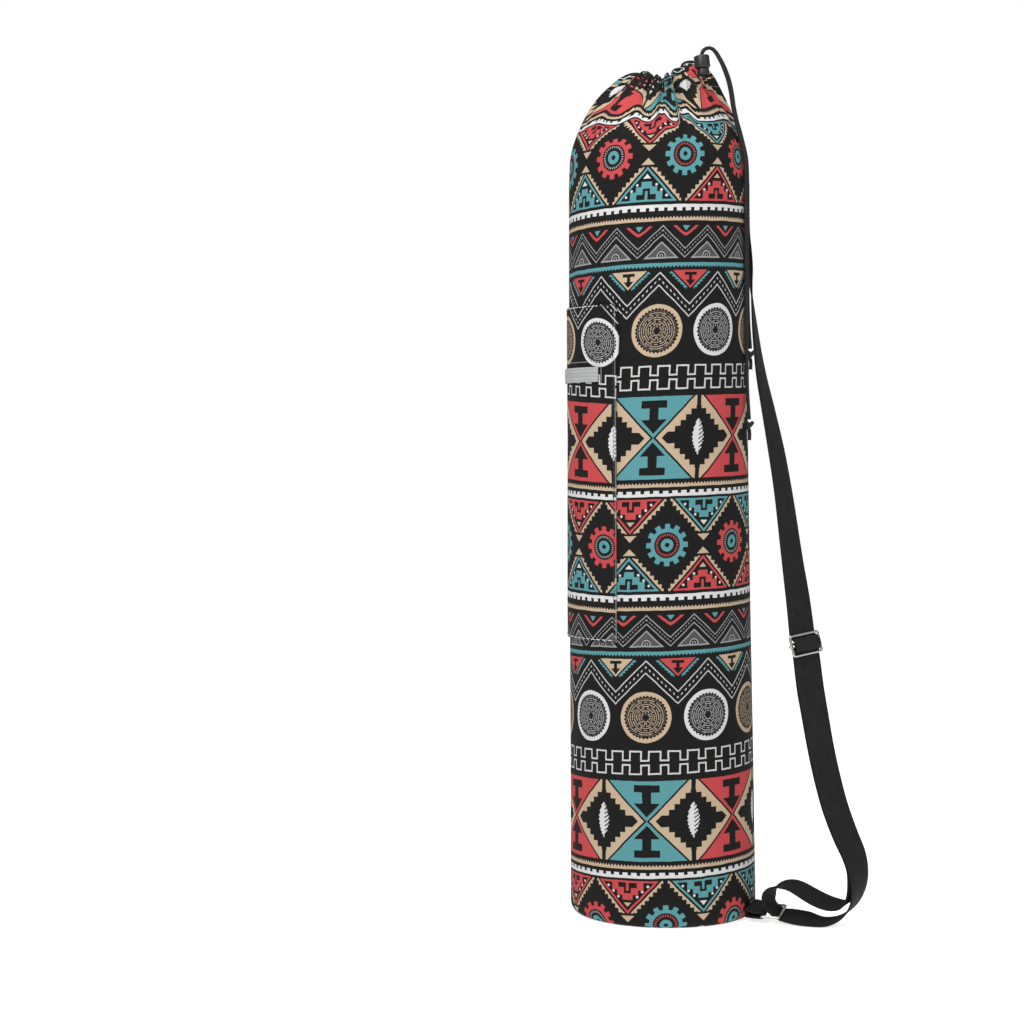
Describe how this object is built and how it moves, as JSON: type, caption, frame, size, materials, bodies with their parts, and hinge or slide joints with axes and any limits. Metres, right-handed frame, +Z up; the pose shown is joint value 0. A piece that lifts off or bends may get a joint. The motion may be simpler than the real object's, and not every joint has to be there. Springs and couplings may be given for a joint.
{
  "type": "yoga mat bag",
  "caption": "Tall drawstring tube bag of printed canvas for a rolled mat, with gathered top, cord lock, patch pocket with zip, and adjustable webbing shoulder strap on a wire ring.",
  "frame": {"origin": "centre of the base panel's underside, on the axis of the bag at its base", "axes": "+Z up along the bag, -Y to the front as pictured, +X to the side that the strap hangs on"},
  "size_m": [0.2491, 0.154, 0.7128],
  "materials": {
    "printed_canvas": "matt plain weave, black with printed bands of red, teal, tan and white figures",
    "zip_tape": "grey woven zip tape",
    "webbing": "black woven webbing",
    "steel_wire": "nickel plated wire",
    "cord_braid": "black braided cord",
    "black_plastic": "moulded, slightly glossy"
  },
  "bodies": {
    "root": {"bag_body": "printed_canvas", "base_panel": "printed_canvas", "mouth_casing": "printed_canvas", "patch_pocket": "printed_canvas", "pocket_zip": "zip_tape", "shoulder_strap": "webbing", "strap_slider": "steel_wire", "strap_ring": "steel_wire", "ring_tab": "webbing", "cord_lock_body": "black_plastic", "cord_lock_button": "black_plastic", "drawcord_long": "cord_braid", "drawcord_short": "cord_braid", "cord_knot_long": "cord_braid", "cord_knot_short": "cord_braid"}
  },
  "joints": []
}
